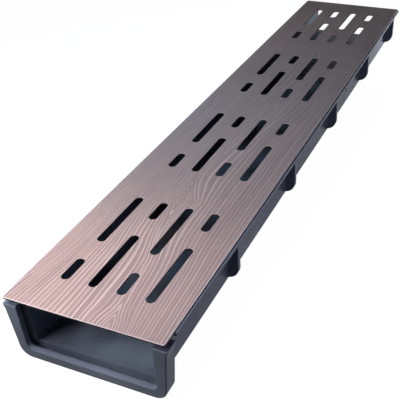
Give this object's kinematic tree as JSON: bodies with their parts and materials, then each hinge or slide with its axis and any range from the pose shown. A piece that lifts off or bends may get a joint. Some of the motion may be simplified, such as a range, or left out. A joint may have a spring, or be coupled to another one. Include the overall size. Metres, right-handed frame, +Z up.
{
  "type": "channel drain",
  "caption": "Shallow straight channel drain: a moulded U trough with a socket collar and side ribs under a flat slotted steel grate with a wood-look coating",
  "frame": {"origin": "centre of the bounding box in plan, on the ground plane under the collar", "axes": "+Y runs along the channel from the socket collar at the near end to the spigot at the far end, +X is to the right when looking that way, +Z is up"},
  "size_m": [0.194, 1.0116, 0.082],
  "materials": {
    "dark_plastic": "dark blue-grey moulded polypropylene, fine grain, slight sheen",
    "wood_look_coating": "brown wood-look coating on steel sheet, satin",
    "galvanised_steel": "plain galvanised steel, dull"
  },
  "bodies": {
    "root": {"channel_body": "dark_plastic", "slotted_grate": "wood_look_coating", "locating_cleat_near_left": "galvanised_steel", "locating_cleat_near_right": "galvanised_steel", "locating_cleat_far_left": "galvanised_steel", "locating_cleat_far_right": "galvanised_steel"}
  },
  "joints": []
}
